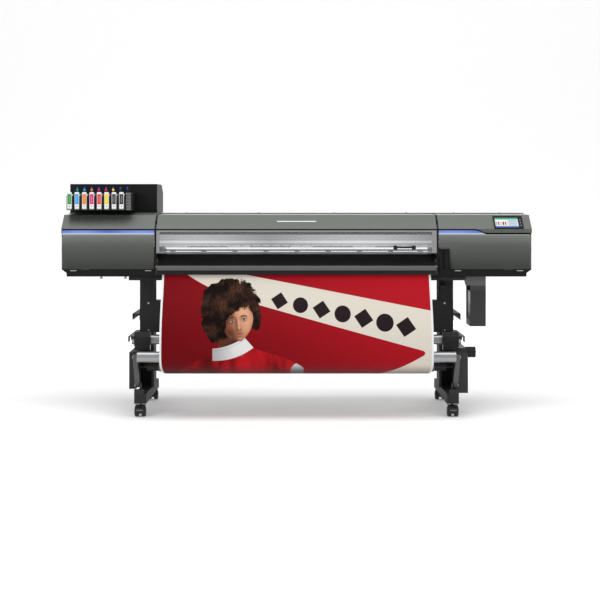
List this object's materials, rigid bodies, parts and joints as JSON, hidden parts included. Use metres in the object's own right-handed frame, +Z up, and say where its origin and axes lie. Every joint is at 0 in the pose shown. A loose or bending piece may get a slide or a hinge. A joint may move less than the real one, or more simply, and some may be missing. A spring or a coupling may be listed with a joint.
{
  "type": "wide-format printer cutter",
  "caption": "Wide-format roll printer and cutter on a caster stand, with a swing-up window, side covers, ink tray rack, touch panel, feed roll and take-up unit carrying printed media.",
  "frame": {"origin": "on the floor under the middle of the machine's outer box", "axes": "+X to the operator's right along the machine, +Y to the back, +Z up"},
  "size_m": [2.86, 0.8598, 1.408],
  "materials": {
    "panel_grey": "satin",
    "base_black": "matte",
    "gloss_black": "glossy",
    "frame_grey": "satin",
    "lip_grey": "satin",
    "brushed_alu": "brushed",
    "bright_steel": "polished",
    "window_clear": "clear",
    "led_blue": "glowing",
    "display": "glowing",
    "caster_black": "matte",
    "tyre_rubber": "matte",
    "pedal_grey": "satin",
    "arm_grey": "satin",
    "media_print": "semi-gloss print",
    "media_white": "matte",
    "core_board": "matte",
    "flange_black": "satin",
    "bottle_white": "translucent",
    "ink_green": "glossy",
    "ink_light_blue": "glossy",
    "ink_orange": "glossy",
    "ink_magenta": "glossy",
    "ink_red": "glossy",
    "ink_yellow": "glossy",
    "ink_black": "glossy"
  },
  "bodies": {
    "machine": {"foot_left": "frame_grey", "foot_right": "frame_grey", "leg_left": "frame_grey", "leg_right": "frame_grey", "cross_beam": "frame_grey", "fasteners": "bright_steel", "base_tray": "base_black", "end_shell_left": "panel_grey", "end_shell_right": "panel_grey", "centre_cover": "panel_grey", "led_strips": "led_blue", "cover_frame": "base_black", "apron_cover": "gloss_black", "apron_lip": "lip_grey", "platen": "brushed_alu", "main_rail": "brushed_alu", "capping_station": "frame_grey", "touch_screen": "display", "ink_rack": "base_black", "bottle_holder": "frame_grey", "takeup_arms": "frame_grey", "idle_housing": "frame_grey", "takeup_drive": "frame_grey", "feed_arms": "frame_grey", "media_sheet": "media_print", "column_box": "flange_black"},
    "swivel_front_left": {"caster_fork_front_left": "caster_black"},
    "wheels_front_left": {"caster_wheels_front_left": "tyre_rubber"},
    "brake_front_left": {"caster_brake_front_left": "pedal_grey"},
    "swivel_front_right": {"caster_fork_front_right": "caster_black"},
    "wheels_front_right": {"caster_wheels_front_right": "tyre_rubber"},
    "brake_front_right": {"caster_brake_front_right": "pedal_grey"},
    "swivel_rear_left": {"caster_fork_rear_left": "caster_black"},
    "wheels_rear_left": {"caster_wheels_rear_left": "tyre_rubber"},
    "swivel_rear_right": {"caster_fork_rear_right": "caster_black"},
    "wheels_rear_right": {"caster_wheels_rear_right": "tyre_rubber"},
    "side_cover_left": {"side_cover_left": "panel_grey"},
    "side_cover_right": {"side_cover_right": "panel_grey"},
    "window": {"window_frame": "base_black", "window_glass": "window_clear"},
    "carriage": {"print_carriage": "base_black"},
    "cutter": {"cut_head": "lip_grey"},
    "grit": {"grit_roller": "bright_steel"},
    "pinch_lift": {"pinch_arms": "frame_grey", "loading_lever": "pedal_grey"},
    "pinch_rollers": {"pinch_wheels": "tyre_rubber"},
    "tray_1": {"ink_tray_1": "ink_green"},
    "tray_2": {"ink_tray_2": "ink_light_blue"},
    "tray_3": {"ink_tray_3": "ink_orange"},
    "tray_4": {"ink_tray_4": "ink_magenta"},
    "tray_5": {"ink_tray_5": "ink_red"},
    "tray_6": {"ink_tray_6": "ink_yellow"},
    "tray_7": {"ink_tray_7": "ink_black"},
    "tray_8": {"ink_tray_8": "ink_black"},
    "bottle": {"waste_bottle": "bottle_white"},
    "guide": {"guide_tube": "brushed_alu"},
    "dancer": {"dancer": "brushed_alu"},
    "takeup": {"takeup_core": "core_board", "wound_print": "media_print", "takeup_flanges": "flange_black"},
    "feed": {"feed_roll": "media_white"}
  },
  "joints": [
    {"name": "swivel_front_left", "type": "hinge", "parent": "machine", "child": "swivel_front_left", "pos_m": [-0.943, -0.262, 0.07], "axis": [0, 0, 1], "continuous": true},
    {"name": "roll_front_left", "type": "hinge", "parent": "swivel_front_left", "child": "wheels_front_left", "pos_m": [-0.943, -0.28, 0.031], "axis": [1, 0, 0], "continuous": true},
    {"name": "brake_front_left", "type": "hinge", "parent": "swivel_front_left", "child": "brake_front_left", "pos_m": [-0.943, -0.318, 0.054], "axis": [1, 0, 0], "range_deg": [0, 8]},
    {"name": "swivel_front_right", "type": "hinge", "parent": "machine", "child": "swivel_front_right", "pos_m": [0.943, -0.262, 0.07], "axis": [0, 0, 1], "continuous": true},
    {"name": "roll_front_right", "type": "hinge", "parent": "swivel_front_right", "child": "wheels_front_right", "pos_m": [0.943, -0.28, 0.031], "axis": [1, 0, 0], "continuous": true},
    {"name": "brake_front_right", "type": "hinge", "parent": "swivel_front_right", "child": "brake_front_right", "pos_m": [0.943, -0.318, 0.054], "axis": [1, 0, 0], "range_deg": [0, 8]},
    {"name": "swivel_rear_left", "type": "hinge", "parent": "machine", "child": "swivel_rear_left", "pos_m": [-0.943, 0.345, 0.07], "axis": [0, 0, 1], "continuous": true},
    {"name": "roll_rear_left", "type": "hinge", "parent": "swivel_rear_left", "child": "wheels_rear_left", "pos_m": [-0.943, 0.363, 0.031], "axis": [1, 0, 0], "continuous": true},
    {"name": "swivel_rear_right", "type": "hinge", "parent": "machine", "child": "swivel_rear_right", "pos_m": [0.943, 0.345, 0.07], "axis": [0, 0, 1], "continuous": true},
    {"name": "roll_rear_right", "type": "hinge", "parent": "swivel_rear_right", "child": "wheels_rear_right", "pos_m": [0.943, 0.363, 0.031], "axis": [1, 0, 0], "continuous": true},
    {"name": "side_cover_left_swing", "type": "hinge", "parent": "machine", "child": "side_cover_left", "pos_m": [0, -0.236, 1.089], "axis": [-1, 0, 0], "range_deg": [0, 75]},
    {"name": "side_cover_right_swing", "type": "hinge", "parent": "machine", "child": "side_cover_right", "pos_m": [0, -0.236, 1.089], "axis": [-1, 0, 0], "range_deg": [0, 75]},
    {"name": "window_swing", "type": "hinge", "parent": "machine", "child": "window", "pos_m": [0, -0.235, 1.114], "axis": [-1, 0, 0], "range_deg": [0, 80]},
    {"name": "carriage_travel", "type": "slide", "parent": "machine", "child": "carriage", "axis": [-1, 0, 0], "range_m": [0, 1.83]},
    {"name": "cut_head_press", "type": "slide", "parent": "carriage", "child": "cutter", "axis": [0, 0, -1], "range_m": [0, 0.01], "stiffness_N_per_m": 1500, "springref_m": -0.01},
    {"name": "grit_spin", "type": "hinge", "parent": "machine", "child": "grit", "pos_m": [0, 0.03, 0.957], "axis": [1, 0, 0], "continuous": true},
    {"name": "pinch_lift", "type": "hinge", "parent": "machine", "child": "pinch_lift", "pos_m": [0, 0.075, 0.99], "axis": [-1, 0, 0], "range_deg": [0, 8]},
    {"name": "pinch_spin", "type": "hinge", "parent": "pinch_lift", "child": "pinch_rollers", "pos_m": [0, 0.03, 0.9784], "axis": [1, 0, 0], "continuous": true},
    {"name": "ink_tray_1_pull", "type": "slide", "parent": "machine", "child": "tray_1", "axis": [0, -1, 0], "range_m": [0, 0.25]},
    {"name": "ink_tray_2_pull", "type": "slide", "parent": "machine", "child": "tray_2", "axis": [0, -1, 0], "range_m": [0, 0.25]},
    {"name": "ink_tray_3_pull", "type": "slide", "parent": "machine", "child": "tray_3", "axis": [0, -1, 0], "range_m": [0, 0.25]},
    {"name": "ink_tray_4_pull", "type": "slide", "parent": "machine", "child": "tray_4", "axis": [0, -1, 0], "range_m": [0, 0.25]},
    {"name": "ink_tray_5_pull", "type": "slide", "parent": "machine", "child": "tray_5", "axis": [0, -1, 0], "range_m": [0, 0.25]},
    {"name": "ink_tray_6_pull", "type": "slide", "parent": "machine", "child": "tray_6", "axis": [0, -1, 0], "range_m": [0, 0.25]},
    {"name": "ink_tray_7_pull", "type": "slide", "parent": "machine", "child": "tray_7", "axis": [0, -1, 0], "range_m": [0, 0.25]},
    {"name": "ink_tray_8_pull", "type": "slide", "parent": "machine", "child": "tray_8", "axis": [0, -1, 0], "range_m": [0, 0.25]},
    {"name": "bottle_lift", "type": "slide", "parent": "machine", "child": "bottle", "axis": [0, 0, 1], "range_m": [0, 0.045]},
    {"name": "guide_spin", "type": "hinge", "parent": "machine", "child": "guide", "pos_m": [0, -0.21, 0.456], "axis": [1, 0, 0], "continuous": true},
    {"name": "dancer_swing", "type": "hinge", "parent": "machine", "child": "dancer", "pos_m": [0, -0.266, 0.186], "axis": [-1, 0, 0], "range_deg": [0, 12]},
    {"name": "takeup_spin", "type": "hinge", "parent": "machine", "child": "takeup", "pos_m": [0, -0.16, 0.283], "axis": [1, 0, 0], "continuous": true},
    {"name": "feed_spin", "type": "hinge", "parent": "machine", "child": "feed", "pos_m": [0, 0.33, 0.62], "axis": [1, 0, 0], "continuous": true}
  ],
  "couplings": [
    {"joint": "pinch_spin", "follows": "grit_spin", "ratio": -1.5}
  ]
}
